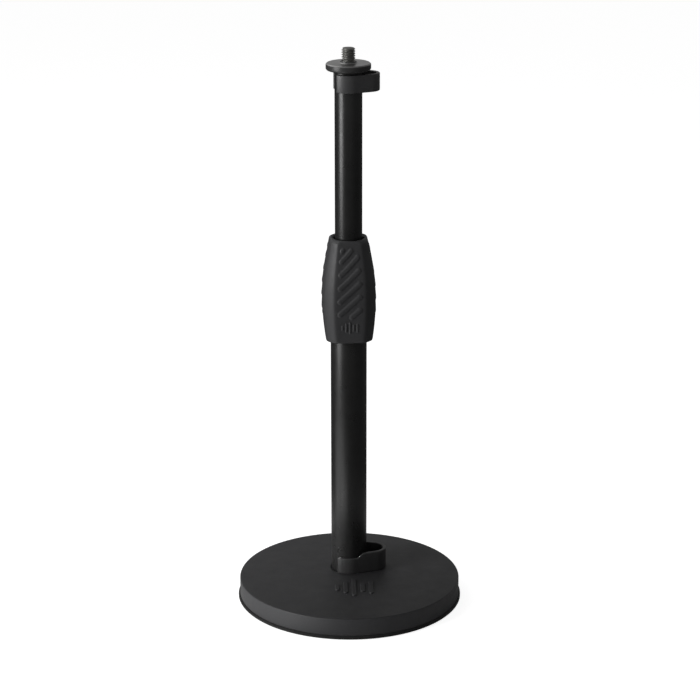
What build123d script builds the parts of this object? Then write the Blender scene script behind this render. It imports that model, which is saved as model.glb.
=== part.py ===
from build123d import *
import math
import os

# Desktop microphone stand: a round cast base on a rubber ring, a fixed lower
# tube set back from the middle of the base, a twist clutch with a barrel grip,
# a telescoping upper tube with a 3/8 in stud and lock disc, and two cable clips.
# Frame: origin at the middle of the base on the table plane, +Z up, the front
# of the stand faces -Y. All sizes are in millimetres.
# In the names, R is a radius, H a height, T a thickness, and Z0 and Z1 are the
# lower and upper ends of a piece or feature.

FIT = 0.05               # gap between close-fitting pieces
MAST_Y = 14.0            # the mast stands this far behind the base centre
CUT_REACH = 15.0         # cross holes are cut this far to each side of the mast

# ---------------------------------------------------------------- base
BASE_R = 78.7
BASE_Z0 = 2.4            # underside of the rim
BASE_Z1 = 15.1           # top face
BASE_EDGE_R = 0.8        # rolled top edge
BASE_RIM_CHAMFER = 0.3
POCKET_R = 64.0          # weight-saving pocket on the underside
POCKET_DEPTH = 3.5
RIB_COUNT = 6
RIB_W = 4.0
RIB_OVERLAP = 4.0        # extra rib length, shared between its two ends
HUB_R = 17.0             # boss around the mast bolt, underside
CBORE_R, CBORE_Z = 11.0, 9.0     # bolt counterbore and its upper end
SEAT_Z = BASE_Z1 - 2.0   # floor of the tube's locating recess
SEAT_LEAD = 0.9          # countersunk lead around the recess
LEAD_OVERCUT = 0.15      # the lead's cutter runs past the top face by this

# raised bars in front of the tube: lengths from left to right
BAR_LENGTHS = (9.0, 19.0, 28.0, 15.0, 21.0)
BAR_PITCH = 6.0
BAR_W, BAR_H = 3.2, 1.0
BAR_EDGE_R = 0.45
BARS_X, BARS_Y = 3.0, -25.5      # middle of the row

RING_R = 79.9            # rubber ring, outer lip
RING_IN_R = 66.5
RING_LIP_Z = 1.7         # upper end of the outer lip
RING_LIP_CHAMFER, RING_IN_CHAMFER = 0.7, 0.4
TONGUE_R0, TONGUE_R1, TONGUE_H = 71.5, 74.5, 3.0

# ---------------------------------------------------------------- mast bolt
# M8 button head, from below
BOLT_R, BOLT_Z1 = 4.0, 27.0
BOLT_TIP_CHAMFER = 0.6
BOLT_HOLE_R = BOLT_R + 0.3
HEAD_R, HEAD_H, HEAD_Z0 = 7.0, 4.4, 1.2
HEAD_ROUND_R = 2.4
SOCKET_HALF_W, SOCKET_DEPTH = 2.5, 2.6
WASHER_R, WASHER_T = 10.0, 1.5
WASHER_BORE_R = BOLT_R + 0.2
WASHER_Z0 = CBORE_Z - WASHER_T
WASHER_CHAMFER = 0.2
SPRING_R, SPRING_T = 6.9, 1.9
SPRING_BORE_R = BOLT_R + 0.1
SPRING_SPLIT_L, SPRING_SPLIT_W, SPRING_SPLIT_DEG = 2 * SPRING_R - 4, 1.0, 12
INSERT_Z1 = 28.0
INSERT_CHAMFER = 0.8

# ---------------------------------------------------------------- tubes
LOWER_R = 12.7           # 1 in steel tube
LOWER_IN_R = LOWER_R - 1.5
LOWER_Z1 = 201.2
UPPER_R = 9.525          # 3/4 in steel tube
UPPER_IN_R = UPPER_R - 1.25
UPPER_Z0, UPPER_Z1 = 135.0, 378.1

BUSH_R = LOWER_IN_R - FIT
BUSH_BORE_R = 6.0
BUSH_Z0, BUSH_Z1 = UPPER_Z0 - 1.5, UPPER_Z0 + 16.0
BUSH_CHAMFER = 0.6
BUSH_FOOT_CHAMFER_H = 0.9
RIVET_Z, RIVET_R = UPPER_Z0 + 8.0, 1.5
RIVET_HALF_L = 10.9
RIVET_CHAMFER = 0.2

# ---------------------------------------------------------------- clutch
COLLAR_Z0, COLLAR_Z1 = LOWER_Z1 - 20.0, LOWER_Z1 + 24.0
COLLAR_FLANGE_Z = LOWER_Z1 + 2.0
COLLAR_BORE_R = 9.6
SPIGOT_CHAMFER, SPIGOT_CHAMFER_H = 0.4, 0.6
FLANGE_CHAMFER = 0.4
NECK_R = 12.5            # M25 x 2 thread, drawn at its major radius
NECK_CHAMFER = 0.8
RUNOUT_R = 11.8          # run-out groove at the foot of the thread
RUNOUT_Z1, THREAD_START_Z = COLLAR_FLANGE_Z + 1.6, COLLAR_FLANGE_Z + 2.3
SEAT_CONE_Z0, SEAT_CONE_R1 = COLLAR_Z1 - 8.5, 11.35
PIN_Z, PIN_R = LOWER_Z1 - 10.0, 1.5
PIN_INNER_X = 10.3       # inner end of each pin, from the mast axis
PIN_L, PIN_HOLE_DEPTH = 2.3, 2.0

COLLET_BORE_R = UPPER_R + FIT
COLLET_Z0, COLLET_Z1 = SEAT_CONE_Z0 + 2.0, COLLAR_Z1 + 6.0
CONE_SLOPE = (SEAT_CONE_R1 - COLLAR_BORE_R) / (COLLAR_Z1 - SEAT_CONE_Z0)
COLLET_R0 = COLLAR_BORE_R + (COLLET_Z0 - SEAT_CONE_Z0) * CONE_SLOPE - FIT
COLLET_R1 = SEAT_CONE_R1 - FIT
COLLET_HEAD_R, COLLET_HEAD_CHAMFER = 12.6, 0.4
COLLET_CONE_TOP_Z, COLLET_HEAD_Z = COLLAR_Z1 + 0.4, COLLAR_Z1 + 1.2
SLIT_X, SLIT_L = 11.0, 6.0       # radial place and length of each slit
FULL_SLIT_W, SHORT_SLIT_W = 1.6, 1.2
SLIT_OVERCUT = 1.0
SHORT_SLIT_H = 7.5

SLIP_R, SLIP_BORE_R = 13.6, 9.9          # slip ring above the collet
SLIP_Z0, SLIP_T = COLLET_Z1 + FIT, 1.5
SLIP_CHAMFER = 0.15

NUT_Z0, NUT_Z1, NUT_R = 191.2, 247.2, 15.0
NUT_THREAD_R = NECK_R + FIT
NUT_THREAD_Z0, NUT_THREAD_Z1 = NUT_Z0 + 15.0, NUT_Z0 + 31.5
NUT_SKIRT_R, NUT_SKIRT_Z1 = 13.0, NUT_THREAD_Z0 - 0.6
NUT_RELIEF_R, NUT_RELIEF_Z = 14.0, NUT_THREAD_Z1 + 1.0
NUT_SHOULDER_Z = SLIP_Z0 + SLIP_T + FIT
NUT_BORE_R = 10.2
KEY_COUNT = 6
KEY_DEPTH, KEY_W = 2.0, 2.6      # the radial depth is centred on the nut's wall
KEY_ROOT_R = NUT_R - 0.5
KEY_Z0, KEY_H = 201.0, 36.0

# ---------------------------------------------------------------- grip
GRIP_Z0 = NUT_Z0 - 1.5
GRIP_Z1 = GRIP_Z0 + 73.2
GRIP_FOOT_IN_R = 13.2
GRIP_MOUTH_R = 10.8
LIP_R, LIP_DROP = 11.3, 0.4      # point the mouth's rounded inner edge passes through
MOUTH_DROP = 1.4                 # depth of that rounded edge
GRIP_FLAT_K = 0.950      # the barrel has four flats at this share of its outline ...
GRIP_CORNER_K = 1.075    # ... and rounded corners between them at this one
GRIP_TURN_DEG = 4.0      # how far the flats are turned from the base's front
FLAT_HALF_W = 18.0       # half width of each flat's cutter
FLAT_CUT_R = 30.0        # outer reach of the cutter
FLAT_OVERCUT = 2.0       # its reach past each end of the barrel
BARREL_FOOT_R, BARREL_MOUTH_R = 16.1, 12.65

# Barrel outline from foot to mouth, as (radius, height above the foot), each
# curve followed by its tangents at its two ends.
BARREL_CURVES = (
    (
        ((BARREL_FOOT_R, 0.0), (17.1, 0.5), (17.75, 2.1)),
        ((1, 0), (0.12, 1)),
    ),
    (
        (
            (17.75, 2.1), (18.4, 7.1), (19.1, 13.5), (19.65, 21.5),
            (19.8, 30.0), (19.3, 41.5), (18.6, 47.9), (17.65, 54.0),
            (16.55, 59.7), (15.7, 64.1), (15.0, 68.1), (14.65, 70.1),
        ),
        ((0.12, 1), (-0.17, 1)),
    ),
    (
        ((14.65, 70.1), (13.95, 72.1), (BARREL_MOUTH_R, 73.2)),
        ((-0.17, 1), (-1, 0)),
    ),
)

# ---------------------------------------------------------------- mast head
PLUG_Z0, PLUG_Z1 = 354.0, 379.15
PLUG_FOOT_CHAMFER, PLUG_FOOT_CHAMFER_H = 0.5, 0.8
PLUG_FLANGE_R, PLUG_FLANGE_CHAMFER = 9.9, 0.2
STUD_R = 4.7625          # 3/8 in - 16 thread, drawn at its major radius
STUD_Z0, STUD_Z1 = PLUG_Z0 + 5.0, 395.2
STUD_CHAMFER = 0.8
STUD_NECK_R, STUD_NECK_Z0, STUD_NECK_Z1 = 4.3, 386.55, 387.5   # thread relief
PAD_R, PAD_BORE_R = 10.0, 4.84   # slip washer under the lock disc
PAD_Z0, PAD_T = PLUG_Z1 + FIT, 0.9
PAD_CHAMFER = 0.2
DISC_R, DISC_BORE_R, DISC_CHAMFER = 15.5, 4.81, 0.9
DISC_Z0, DISC_Z1 = PAD_Z0 + PAD_T + FIT, 384.95
DISC_FLARE = 1.45        # concave radius where the hub runs out on the disc
DISC_HUB_R, DISC_HUB_Z1 = 5.5, DISC_Z1 + DISC_FLARE

# ---------------------------------------------------------------- cable clips
CLIP_T = 2.35            # wall of the moulded strip
CLIP_CHAMFER = 0.3
LO_CLIP_Z0, LO_CLIP_Z1 = BASE_Z1 + 0.1, 30.1
LO_RING_Z1 = 27.0                    # the ring stands lower than the pocket
LO_STEP_X0, LO_STEP_X1 = 6.2, 10.0   # where the top edge climbs
LO_STEP_RISE = 0.2                   # the slope runs this far past the pocket's top
LO_CUT_REACH, LO_CUT_OVER = 30.0, 3.0    # size of the cutter beyond the clip

mast_axis = Axis((0, MAST_Y, 0), (0, 0, 1))
mast_section = Plane.XZ.offset(-MAST_Y)      # local x is radius, local y is height


def mast_level(z):
    """Horizontal plane at height z, centred on the mast."""
    return Plane(origin=(0, MAST_Y, z), x_dir=(1, 0, 0), z_dir=(0, 0, 1))


def mast_side(x, z):
    """Plane facing +X, centred at height z and offset by x from the mast axis."""
    return Plane(origin=(x, MAST_Y, z), x_dir=(0, 1, 0), z_dir=(1, 0, 0))


def annulus(outer_r, inner_r):
    """Draw a flat ring in the current sketch."""
    Circle(outer_r)
    Circle(inner_r, mode=Mode.SUBTRACT)


# ---------------------------------------------------------------- base pieces
def base_plate():
    """Cast disc with a ribbed underside, a ring groove and a seat for the tube."""
    with BuildPart() as plate:
        with BuildSketch(Plane.XY.offset(BASE_Z0)):
            Circle(BASE_R)
        extrude(amount=BASE_Z1 - BASE_Z0)
        fillet(plate.edges().group_by(Axis.Z)[-1], BASE_EDGE_R)
        chamfer(plate.edges().group_by(Axis.Z)[0], BASE_RIM_CHAMFER)
        # ribbed pocket on the underside
        with BuildSketch(Plane.XY.offset(BASE_Z0)):
            Circle(POCKET_R)
            with PolarLocations(POCKET_R / 2, RIB_COUNT, start_angle=30):
                Rectangle(POCKET_R + RIB_OVERLAP, RIB_W, mode=Mode.SUBTRACT)
            with Locations((0, MAST_Y)):
                Circle(HUB_R, mode=Mode.SUBTRACT)
        extrude(amount=POCKET_DEPTH, mode=Mode.SUBTRACT)
        # groove for the rubber ring
        with BuildSketch(Plane.XY.offset(BASE_Z0)):
            annulus(TONGUE_R1, TONGUE_R0)
        extrude(amount=TONGUE_H, mode=Mode.SUBTRACT)
        # counterbore, bolt hole and tube recess
        for radius, z0, z1 in (
            (CBORE_R, BASE_Z0, CBORE_Z),
            (BOLT_HOLE_R, CBORE_Z, BASE_Z1),
            (LOWER_R, SEAT_Z, BASE_Z1),
        ):
            with BuildSketch(mast_level(z0)):
                Circle(radius)
            extrude(amount=z1 - z0, mode=Mode.SUBTRACT)
        # countersunk lead around the recess
        lead_z, over_z = BASE_Z1 - SEAT_LEAD, BASE_Z1 + LEAD_OVERCUT
        with BuildSketch(mast_section):
            with BuildLine():
                Polyline(
                    (0, lead_z), (LOWER_R, lead_z),
                    (LOWER_R + SEAT_LEAD + LEAD_OVERCUT, over_z), (0, over_z),
                    close=True,
                )
            make_face()
        revolve(axis=mast_axis, mode=Mode.SUBTRACT)
        # five plain raised bars, a generic level-meter sign
        with BuildSketch(Plane.XY.offset(BASE_Z1)):
            for index, length in enumerate(BAR_LENGTHS):
                x = BARS_X + (index - (len(BAR_LENGTHS) - 1) / 2) * BAR_PITCH
                with Locations((x, BARS_Y)):
                    SlotOverall(length, BAR_W, rotation=90)
        extrude(amount=BAR_H)
        fillet(plate.edges().group_by(Axis.Z)[-1], BAR_EDGE_R)
    return plate.part


def foot_ring():
    """Soft ring under the rim, with a tongue that plugs into the base's groove."""
    tongue_z = BASE_Z0 + TONGUE_H
    with BuildPart() as ring:
        with BuildSketch(Plane.XZ):
            with BuildLine():
                Polyline(
                    (RING_IN_R, RING_IN_CHAMFER), (RING_IN_R + RING_IN_CHAMFER, 0),
                    (RING_R - RING_LIP_CHAMFER, 0), (RING_R, RING_LIP_CHAMFER),
                    (RING_R, RING_LIP_Z), (BASE_R + 0.2, BASE_Z0),
                    (TONGUE_R1, BASE_Z0), (TONGUE_R1, tongue_z),
                    (TONGUE_R0, tongue_z), (TONGUE_R0, BASE_Z0),
                    (RING_IN_R, BASE_Z0),
                    close=True,
                )
            make_face()
        revolve(axis=Axis.Z)
    return ring.part


def base_washer():
    """Flat washer against the roof of the counterbore."""
    with BuildPart() as washer:
        with BuildSketch(mast_level(WASHER_Z0)):
            annulus(WASHER_R, WASHER_BORE_R)
        extrude(amount=WASHER_T)
        circles = washer.edges().filter_by(GeomType.CIRCLE)
        chamfer(circles.group_by(SortBy.RADIUS)[-1], WASHER_CHAMFER)
    return washer.part


def spring_washer():
    """Split washer under the flat one, its split towards +X."""
    with BuildPart() as washer:
        with BuildSketch(mast_level(WASHER_Z0 - SPRING_T)):
            annulus(SPRING_R, SPRING_BORE_R)
            with Locations((SPRING_R, 0)):
                Rectangle(
                    SPRING_SPLIT_L, SPRING_SPLIT_W,
                    rotation=SPRING_SPLIT_DEG, mode=Mode.SUBTRACT,
                )
        extrude(amount=SPRING_T)
    return washer.part


def base_bolt():
    """Button-head bolt with a hex socket, pointing up."""
    head_top = HEAD_Z0 + HEAD_H
    with BuildPart() as bolt:
        with BuildSketch(mast_level(HEAD_Z0)):
            Circle(HEAD_R)
        extrude(amount=HEAD_H)
        fillet(bolt.edges().group_by(Axis.Z)[0], HEAD_ROUND_R)
        with BuildSketch(mast_level(head_top)):
            Circle(BOLT_R)
        extrude(amount=BOLT_Z1 - head_top)
        chamfer(bolt.edges().group_by(Axis.Z)[-1], BOLT_TIP_CHAMFER)
        with BuildSketch(mast_level(HEAD_Z0)):
            RegularPolygon(SOCKET_HALF_W, 6, major_radius=False)
        extrude(amount=SOCKET_DEPTH, mode=Mode.SUBTRACT)
    return bolt.part


# ---------------------------------------------------------------- lower mast
def tube_foot_insert():
    """Steel plug pressed into the foot of the lower tube; the bolt screws in."""
    with BuildPart() as insert:
        with BuildSketch(mast_level(SEAT_Z)):
            annulus(LOWER_IN_R, BOLT_R)
        extrude(amount=INSERT_Z1 - SEAT_Z)
        top_edges = insert.edges().group_by(Axis.Z)[-1]
        chamfer(top_edges.sort_by(SortBy.RADIUS)[-1], INSERT_CHAMFER)
    return insert.part


def lower_tube():
    """Fixed tube, cross-drilled near its top for the collar pins."""
    with BuildPart() as tube:
        with BuildSketch(mast_level(SEAT_Z)):
            annulus(LOWER_R, LOWER_IN_R)
        extrude(amount=LOWER_Z1 - SEAT_Z)
        with BuildSketch(mast_side(-CUT_REACH, PIN_Z)):
            Circle(PIN_R)
        extrude(amount=2 * CUT_REACH, mode=Mode.SUBTRACT)
    return tube.part


# ---------------------------------------------------------------- clutch pieces
def clutch_collar():
    """Fixed half of the clutch.

    A spigot in the tube, a flange on its end, a threaded neck with a run-out
    groove, and the taper seat for the collet.
    """
    with BuildPart() as collar:
        with BuildSketch(mast_section):
            with BuildLine():
                Polyline(
                    (COLLAR_BORE_R, COLLAR_Z0),
                    (LOWER_IN_R - SPIGOT_CHAMFER, COLLAR_Z0),
                    (LOWER_IN_R, COLLAR_Z0 + SPIGOT_CHAMFER_H),
                    (LOWER_IN_R, LOWER_Z1), (LOWER_R, LOWER_Z1),
                    (LOWER_R, COLLAR_FLANGE_Z - FLANGE_CHAMFER),
                    (LOWER_R - FLANGE_CHAMFER, COLLAR_FLANGE_Z),
                    (RUNOUT_R, COLLAR_FLANGE_Z), (RUNOUT_R, RUNOUT_Z1),
                    (NECK_R, THREAD_START_Z), (NECK_R, COLLAR_Z1 - NECK_CHAMFER),
                    (NECK_R - NECK_CHAMFER, COLLAR_Z1),
                    (SEAT_CONE_R1, COLLAR_Z1), (COLLAR_BORE_R, SEAT_CONE_Z0),
                    close=True,
                )
            make_face()
        revolve(axis=mast_axis)
        # blind pin holes, one each side
        for side in (-1, 1):
            with BuildSketch(mast_side(side * PIN_INNER_X, PIN_Z)):
                Circle(PIN_R)
            extrude(amount=side * PIN_HOLE_DEPTH, mode=Mode.SUBTRACT)
    return collar.part


def collar_pins():
    """Two short pins through the tube wall that keep the collar from turning."""
    with BuildPart() as pins:
        for side in (-1, 1):
            with BuildSketch(mast_side(side * PIN_INNER_X, PIN_Z)):
                Circle(PIN_R)
            extrude(amount=side * PIN_L)
    return pins.part


def collet():
    """Split nylon cone around the upper tube: one full slit and three short ones."""
    slit_z0 = COLLET_Z0 - SLIT_OVERCUT
    with BuildPart() as cone:
        with BuildSketch(mast_section):
            with BuildLine():
                Polyline(
                    (COLLET_BORE_R, COLLET_Z0), (COLLET_R0, COLLET_Z0),
                    (COLLET_R1, COLLAR_Z1), (COLLET_R1, COLLET_CONE_TOP_Z),
                    (COLLET_HEAD_R, COLLET_HEAD_Z),
                    (COLLET_HEAD_R, COLLET_Z1 - COLLET_HEAD_CHAMFER),
                    (COLLET_HEAD_R - COLLET_HEAD_CHAMFER, COLLET_Z1),
                    (COLLET_BORE_R, COLLET_Z1),
                    close=True,
                )
            make_face()
        revolve(axis=mast_axis)
        with BuildSketch(mast_level(slit_z0)):
            with Locations((SLIT_X, 0)):
                Rectangle(SLIT_L, FULL_SLIT_W)
        extrude(amount=COLLET_Z1 - COLLET_Z0 + 2 * SLIT_OVERCUT, mode=Mode.SUBTRACT)
        with BuildSketch(mast_level(slit_z0)):
            with Locations((-SLIT_X, 0)):
                Rectangle(SLIT_L, SHORT_SLIT_W)
            with Locations((0, SLIT_X), (0, -SLIT_X)):
                Rectangle(SHORT_SLIT_W, SLIT_L)
        extrude(amount=SHORT_SLIT_H + SLIT_OVERCUT, mode=Mode.SUBTRACT)
    return cone.part


def thrust_ring():
    """Slip ring between the collet and the nut's shoulder."""
    with BuildPart() as ring:
        with BuildSketch(mast_level(SLIP_Z0)):
            annulus(SLIP_R, SLIP_BORE_R)
        extrude(amount=SLIP_T)
        chamfer(ring.edges().filter_by(GeomType.CIRCLE), SLIP_CHAMFER)
    return ring.part


def clutch_nut():
    """Turning half of the clutch, with six keys that hold it in the soft grip."""
    with BuildPart() as nut:
        with BuildSketch(mast_section):
            with BuildLine():
                Polyline(
                    (NUT_SKIRT_R, NUT_Z0), (NUT_R, NUT_Z0),
                    (NUT_R, NUT_Z1), (NUT_BORE_R, NUT_Z1),
                    (NUT_BORE_R, NUT_SHOULDER_Z), (NUT_RELIEF_R, NUT_SHOULDER_Z),
                    (NUT_RELIEF_R, NUT_RELIEF_Z), (NUT_THREAD_R, NUT_THREAD_Z1),
                    (NUT_THREAD_R, NUT_THREAD_Z0), (NUT_SKIRT_R, NUT_SKIRT_Z1),
                    close=True,
                )
            make_face()
        revolve(axis=mast_axis)
        with BuildSketch(mast_level(KEY_Z0)):
            with PolarLocations(NUT_R, KEY_COUNT, start_angle=30):
                Rectangle(KEY_DEPTH, KEY_W)
            Circle(KEY_ROOT_R, mode=Mode.SUBTRACT)
        extrude(amount=KEY_H)
    return nut.part


def barrel_line(scale):
    """Draw the barrel's outline from foot to mouth, with its radii scaled."""
    for points, tangents in BARREL_CURVES:
        Spline(*[(r * scale, GRIP_Z0 + h) for r, h in points], tangents=tangents)


def grip_sleeve():
    """Soft barrel moulded over the nut, a rounded square in plan.

    It has four curved flats, and its mouth stands clear around the tube.
    """
    nut = clutch_nut()
    corner_mouth_r = BARREL_MOUTH_R * GRIP_CORNER_K
    flat_foot_r = BARREL_FOOT_R * GRIP_FLAT_K
    flat_mouth_r = BARREL_MOUTH_R * GRIP_FLAT_K
    cut_z0, cut_z1 = GRIP_Z0 - FLAT_OVERCUT, GRIP_Z1 + FLAT_OVERCUT
    mouth_z = GRIP_Z1 - MOUTH_DROP
    with BuildPart() as grip:
        with BuildSketch(mast_section):
            with BuildLine():
                Line((GRIP_FOOT_IN_R, GRIP_Z0), (BARREL_FOOT_R * GRIP_CORNER_K, GRIP_Z0))
                barrel_line(GRIP_CORNER_K)
                Spline(
                    (corner_mouth_r, GRIP_Z1), (LIP_R, GRIP_Z1 - LIP_DROP),
                    (GRIP_MOUTH_R, mouth_z),
                    tangents=[(-1, 0), (0, -1)],
                )
                Polyline(
                    (GRIP_MOUTH_R, mouth_z), (GRIP_MOUTH_R, NUT_Z1),
                    (NUT_R, NUT_Z1), (NUT_R, NUT_Z0),
                    (GRIP_FOOT_IN_R, NUT_Z0), (GRIP_FOOT_IN_R, GRIP_Z0),
                )
            make_face()
        revolve(axis=mast_axis)
        # four flats that follow the barrel's outline
        for quarter in range(4):
            turn = math.radians(GRIP_TURN_DEG + 90 * quarter)
            section = Plane(
                origin=(0, MAST_Y, 0),
                x_dir=(math.cos(turn), math.sin(turn), 0),
                z_dir=(math.sin(turn), -math.cos(turn), 0),
            )
            with BuildSketch(section):
                with BuildLine():
                    Polyline(
                        (flat_mouth_r, GRIP_Z1), (flat_mouth_r, cut_z1),
                        (FLAT_CUT_R, cut_z1), (FLAT_CUT_R, cut_z0),
                        (flat_foot_r, cut_z0), (flat_foot_r, GRIP_Z0),
                    )
                    barrel_line(GRIP_FLAT_K)
                make_face()
            extrude(amount=FLAT_HALF_W, both=True, mode=Mode.SUBTRACT)
        add(nut, mode=Mode.SUBTRACT)
    return grip.part


# ---------------------------------------------------------------- upper mast
def upper_tube():
    """Sliding tube, cross-drilled near its foot for the bush rivet."""
    with BuildPart() as tube:
        with BuildSketch(mast_level(UPPER_Z0)):
            annulus(UPPER_R, UPPER_IN_R)
        extrude(amount=UPPER_Z1 - UPPER_Z0)
        with BuildSketch(mast_side(-CUT_REACH, RIVET_Z)):
            Circle(RIVET_R)
        extrude(amount=2 * CUT_REACH, mode=Mode.SUBTRACT)
    return tube.part


def guide_bush():
    """Nylon bush on the foot of the upper tube, running inside the lower tube."""
    with BuildPart() as bush:
        with BuildSketch(mast_section):
            with BuildLine():
                Polyline(
                    (BUSH_BORE_R, BUSH_Z0), (BUSH_R - BUSH_CHAMFER, BUSH_Z0),
                    (BUSH_R, BUSH_Z0 + BUSH_FOOT_CHAMFER_H),
                    (BUSH_R, BUSH_Z1 - BUSH_CHAMFER),
                    (BUSH_R - BUSH_CHAMFER, BUSH_Z1), (UPPER_R, BUSH_Z1),
                    (UPPER_R, UPPER_Z0), (BUSH_BORE_R, UPPER_Z0),
                    close=True,
                )
            make_face()
        revolve(axis=mast_axis)
        with BuildSketch(mast_side(-CUT_REACH, RIVET_Z)):
            Circle(RIVET_R)
        extrude(amount=2 * CUT_REACH, mode=Mode.SUBTRACT)
    return bush.part


def bush_rivet():
    """Cross rivet through the bush and the upper tube."""
    with BuildPart() as rivet:
        with BuildSketch(mast_side(-RIVET_HALF_L, RIVET_Z)):
            Circle(RIVET_R)
        extrude(amount=2 * RIVET_HALF_L)
        chamfer(rivet.edges().filter_by(GeomType.CIRCLE), RIVET_CHAMFER)
    return rivet.part


def tube_plug():
    """Steel plug pressed into the top of the upper tube; the stud screws in."""
    with BuildPart() as plug:
        with BuildSketch(mast_section):
            with BuildLine():
                Polyline(
                    (0, PLUG_Z0), (UPPER_IN_R - PLUG_FOOT_CHAMFER, PLUG_Z0),
                    (UPPER_IN_R, PLUG_Z0 + PLUG_FOOT_CHAMFER_H),
                    (UPPER_IN_R, UPPER_Z1), (PLUG_FLANGE_R, UPPER_Z1),
                    (PLUG_FLANGE_R, PLUG_Z1 - PLUG_FLANGE_CHAMFER),
                    (PLUG_FLANGE_R - PLUG_FLANGE_CHAMFER, PLUG_Z1),
                    (STUD_R, PLUG_Z1), (STUD_R, STUD_Z0), (0, STUD_Z0),
                    close=True,
                )
            make_face()
        revolve(axis=mast_axis)
    return plug.part


def thread_stud():
    """Stud for the microphone clip, with a relief groove under its thread."""
    with BuildPart() as stud:
        with BuildSketch(mast_level(STUD_Z0)):
            Circle(STUD_R)
        extrude(amount=STUD_Z1 - STUD_Z0)
        chamfer(stud.edges().group_by(Axis.Z)[-1], STUD_CHAMFER)
        with BuildSketch(mast_level(STUD_NECK_Z0)):
            annulus(STUD_R + 1, STUD_NECK_R)
        extrude(amount=STUD_NECK_Z1 - STUD_NECK_Z0, mode=Mode.SUBTRACT)
    return stud.part


def disc_washer():
    """Black slip washer captive under the lock disc."""
    with BuildPart() as washer:
        with BuildSketch(mast_level(PAD_Z0)):
            annulus(PAD_R, PAD_BORE_R)
        extrude(amount=PAD_T)
        circles = washer.edges().filter_by(GeomType.CIRCLE)
        chamfer(circles.group_by(SortBy.RADIUS)[-1], PAD_CHAMFER)
    return washer.part


def lock_disc():
    """Turned disc with bevelled edges and a short hub that flares onto its face."""
    flare_mid = DISC_FLARE * (1 - math.sqrt(0.5))
    rim_r = DISC_R - DISC_CHAMFER
    flare_end = (DISC_HUB_R + DISC_FLARE, DISC_Z1)
    hub_top = (DISC_HUB_R, DISC_HUB_Z1)
    with BuildPart() as disc:
        with BuildSketch(mast_section):
            with BuildLine():
                Polyline(
                    hub_top, (DISC_BORE_R, DISC_HUB_Z1), (DISC_BORE_R, DISC_Z0),
                    (rim_r, DISC_Z0), (DISC_R, DISC_Z0 + DISC_CHAMFER),
                    (DISC_R, DISC_Z1 - DISC_CHAMFER), (rim_r, DISC_Z1), flare_end,
                )
                ThreePointArc(
                    flare_end, (DISC_HUB_R + flare_mid, DISC_Z1 + flare_mid), hub_top
                )
            make_face()
        revolve(axis=mast_axis)
    return disc.part


# ---------------------------------------------------------------- cable clips
def clip_outline(ring_in, loop_dist, loop_in, azimuth, mouth_half):
    """Draw a clip's plan, a teardrop strip open on the side away from its pocket.

    ring_in and loop_in are the inner radii of the ring around the tube and of
    the cable pocket, loop_dist is the distance between their centres, azimuth
    turns the pocket from +X, and mouth_half is half the mouth's angle.
    """
    def polar(centre, radius, degrees):
        angle = math.radians(degrees + azimuth)
        return (centre[0] + radius * math.cos(angle), centre[1] + radius * math.sin(angle))

    def at_ring(radius, degrees):
        return polar((0, MAST_Y), radius, degrees)

    def at_loop(radius, degrees):
        return polar(at_ring(loop_dist, 0), radius, degrees)

    tangent = math.degrees(math.acos((ring_in - loop_in) / loop_dist))
    tip = 180 - mouth_half
    ring_mid = 0.5 * (tip + tangent)
    for ring, loop in ((ring_in + CLIP_T, loop_in + CLIP_T), (ring_in, loop_in)):
        ThreePointArc(at_ring(ring, tip), at_ring(ring, ring_mid), at_ring(ring, tangent))
        Line(at_ring(ring, tangent), at_loop(loop, tangent))
        ThreePointArc(at_loop(loop, tangent), at_loop(loop, 0), at_loop(loop, -tangent))
        Line(at_loop(loop, -tangent), at_ring(ring, -tangent))
        ThreePointArc(at_ring(ring, -tangent), at_ring(ring, -ring_mid), at_ring(ring, -tip))
    # rounded tips at the mouth
    strip_mid = ring_in + 0.5 * CLIP_T
    tip_mid = tip + math.degrees(0.5 * CLIP_T / strip_mid)
    for side in (-1, 1):
        ThreePointArc(
            at_ring(ring_in, side * tip), at_ring(strip_mid, side * tip_mid),
            at_ring(ring_in + CLIP_T, side * tip),
        )


def cable_clip(z0, z1, **outline):
    """Moulded strip that springs over the tube, between two heights."""
    with BuildPart() as clip:
        with BuildSketch(Plane.XY.offset(z0)):
            with BuildLine():
                clip_outline(**outline)
            make_face()
        extrude(amount=z1 - z0)
        levels = clip.edges().group_by(Axis.Z)
        chamfer(levels[-1] + levels[0], CLIP_CHAMFER)
    return clip.part


def upper_cable_clip():
    """Clip at the top of the upper tube."""
    return cable_clip(
        z0=365.8, z1=UPPER_Z1 - 0.1,
        ring_in=UPPER_R + FIT, loop_dist=12.95, loop_in=6.35, azimuth=8.0, mouth_half=41.0,
    )


def lower_cable_clip():
    """Clip at the foot of the lower tube, its ring cut lower than its pocket."""
    full_clip = cable_clip(
        z0=LO_CLIP_Z0, z1=LO_CLIP_Z1,
        ring_in=LOWER_R + FIT, loop_dist=16.8, loop_in=7.6, azimuth=2.0, mouth_half=57.0,
    )
    cut_z1 = LO_CLIP_Z1 + LO_CUT_OVER
    with BuildPart() as clip:
        add(full_clip)
        with BuildSketch(mast_section):
            with BuildLine():
                Polyline(
                    (-LO_CUT_REACH, LO_RING_Z1), (LO_STEP_X0, LO_RING_Z1),
                    (LO_STEP_X1, LO_CLIP_Z1 + LO_STEP_RISE), (LO_STEP_X1, cut_z1),
                    (-LO_CUT_REACH, cut_z1),
                    close=True,
                )
            make_face()
        extrude(amount=LO_CUT_REACH, both=True, mode=Mode.SUBTRACT)
    return clip.part


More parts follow.
